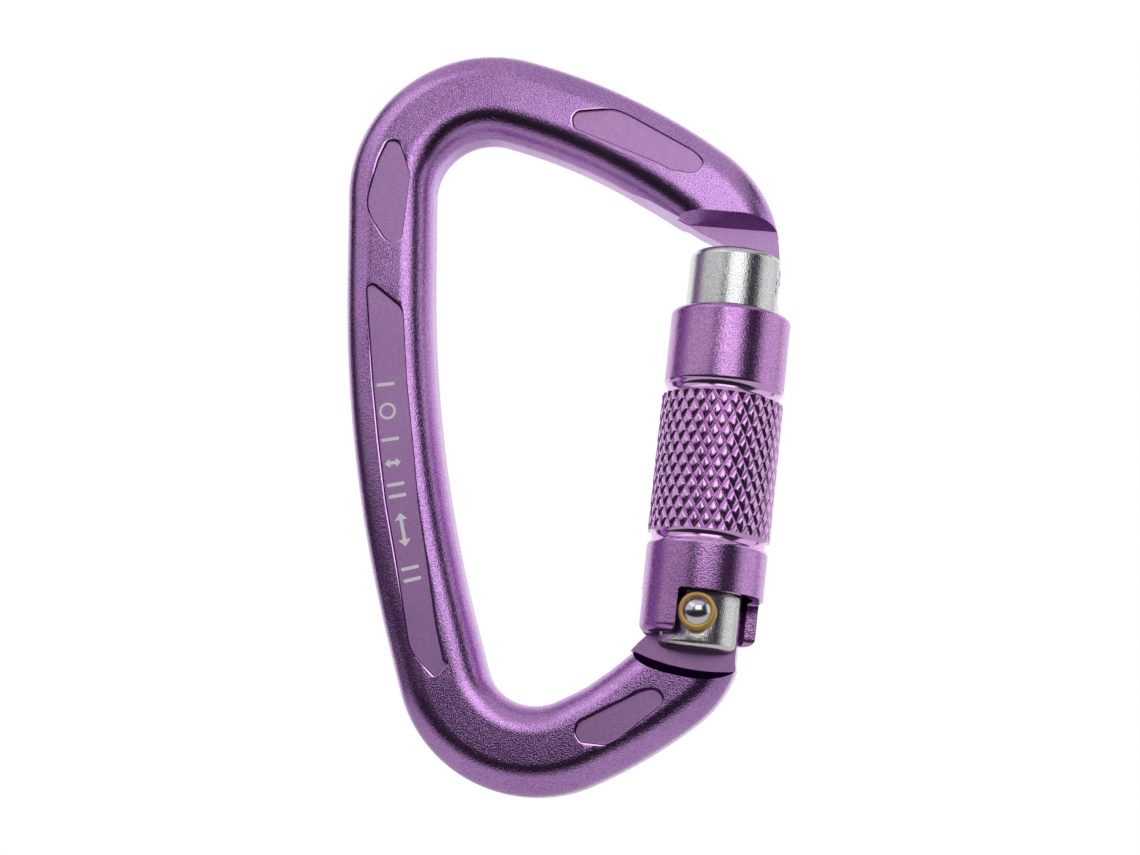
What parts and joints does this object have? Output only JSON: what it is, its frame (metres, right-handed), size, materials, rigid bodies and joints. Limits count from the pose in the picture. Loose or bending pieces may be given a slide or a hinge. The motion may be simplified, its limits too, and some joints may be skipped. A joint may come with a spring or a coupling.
{
  "type": "locking carabiner",
  "caption": "Offset D-shaped climbing carabiner with a sprung gate and a knurled twist sleeve that locks the gate at its hinge.",
  "frame": {"origin": "centre of the round inside of the top bend, on the middle plane of the bar", "axes": "+X from the spine to the gate, +Z from the hinge end to the nose end, -Y the front, where the hinge rivet's head is"},
  "size_m": [0.0654, 0.0178, 0.1102],
  "materials": {
    "body": "satin purple anodised, bead blasted",
    "sleeve": "satin purple anodised, knurled",
    "gate": "satin, clear",
    "rivet": "polished",
    "stop_ring": "turned",
    "bush": "matt",
    "ring": "spring steel",
    "spring": "drawn wire",
    "plunger": "ground"
  },
  "bodies": {
    "body": {"body": "body"},
    "gate": {"gate_barrel": "gate", "hinge_rivet": "rivet", "stop_ring": "stop_ring", "sleeve_bush": "bush", "retaining_ring": "ring", "sleeve_spring": "spring", "gate_spring": "spring"},
    "sleeve": {"locking_sleeve": "sleeve"},
    "plunger": {"gate_plunger": "plunger"}
  },
  "joints": [
    {"name": "gate_swing", "type": "hinge", "parent": "body", "child": "gate", "pos_m": [0.03088, 0, -0.06388], "axis": [0, -1, 0], "range_deg": [0, 26], "stiffness_Nm_per_rad": 0.3, "springref_deg": -34.38},
    {"name": "sleeve_twist", "type": "hinge", "parent": "gate", "child": "sleeve", "pos_m": [0.03088, 0, -0.06388], "axis": [-0.1137, 0, -0.9935], "range_deg": [0, 95], "stiffness_Nm_per_rad": 0.02, "springref_deg": -45.84},
    {"name": "plunger_slide", "type": "slide", "parent": "gate", "child": "plunger", "axis": [0.1137, 0, 0.9935], "range_m": [0, 0.00081], "deforming": ["gate_spring"]}
  ],
  "couplings": [
    {"joint": "plunger_slide", "follows": "gate_swing", "m_per_rad": 0.001763}
  ]
}
